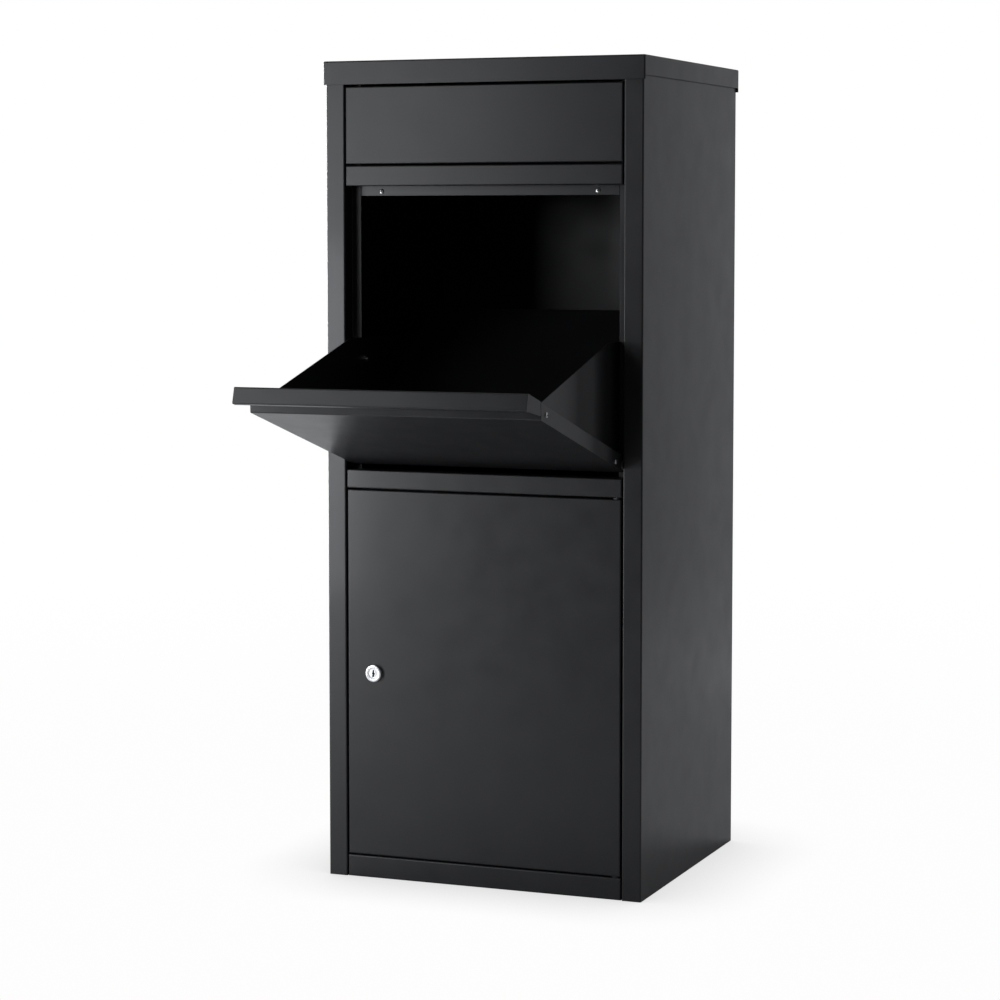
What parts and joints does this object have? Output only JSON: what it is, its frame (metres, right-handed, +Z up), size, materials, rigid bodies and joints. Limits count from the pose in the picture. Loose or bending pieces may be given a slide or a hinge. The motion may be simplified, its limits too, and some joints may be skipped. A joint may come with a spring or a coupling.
{
  "type": "parcel drop box",
  "caption": "Free-standing sheet-steel parcel drop box with a bottom-hinged hopper flap above a locked collection door.",
  "frame": {"origin": "centre of the cabinet's base, on the ground, at the centre of the four anchor holes", "axes": "+Z up the cabinet, +X to the right seen from the front, +Y from the front to the back"},
  "size_m": [0.42, 0.6916, 1.02],
  "materials": {
    "powder_coat": "satin black powder coat with a fine texture",
    "zinc_steel": "bright zinc plate",
    "chrome": "polished chrome plate",
    "rubber": "matte black moulded rubber",
    "nylon": "moulded black nylon"
  },
  "bodies": {
    "cabinet": {"left_side_panel": "powder_coat", "right_side_panel": "powder_coat", "back_panel": "powder_coat", "base_panel": "powder_coat", "top_cap": "powder_coat", "corner_brackets": "powder_coat", "crown_rail": "powder_coat", "fascia_panel": "powder_coat", "upper_rail": "powder_coat", "divider_rail": "powder_coat", "bottom_rail": "powder_coat", "header_angle": "powder_coat", "header_screws": "zinc_steel", "header_nuts": "zinc_steel", "back_rivets": "powder_coat", "flap_bumpers": "rubber", "door_bumpers": "rubber", "flap_pivot_pins": "zinc_steel", "door_hinge_pins": "zinc_steel"},
    "flap": {"flap_panel": "powder_coat", "hopper_tray": "powder_coat", "left_cheek": "powder_coat", "right_cheek": "powder_coat", "cheek_screws": "zinc_steel", "cheek_nuts": "zinc_steel", "stop_blocks": "rubber", "stop_bolts": "zinc_steel", "stop_nuts": "zinc_steel", "flap_pivot_bushes": "nylon"},
    "door": {"door_panel": "powder_coat", "door_stiffener": "powder_coat", "door_hinge_bushes": "nylon", "lock_housing": "chrome", "lock_nut": "zinc_steel"},
    "lock": {"lock_plug": "chrome", "lock_cam": "zinc_steel", "cam_screw": "zinc_steel"}
  },
  "joints": [
    {"name": "flap_hinge", "type": "hinge", "parent": "cabinet", "child": "flap", "pos_m": [0, -0.1805, 0.5304], "axis": [-1, 0, 0], "range_deg": [0, 74]},
    {"name": "door_hinge", "type": "hinge", "parent": "cabinet", "child": "door", "pos_m": [0.174, -0.1815, 0.25925], "axis": [0, 0, 1], "range_deg": [0, 110]},
    {"name": "lock_turn", "type": "hinge", "parent": "door", "child": "lock", "pos_m": [-0.1445, -0.18, 0.26], "axis": [0, -1, 0], "range_deg": [0, 90]}
  ]
}
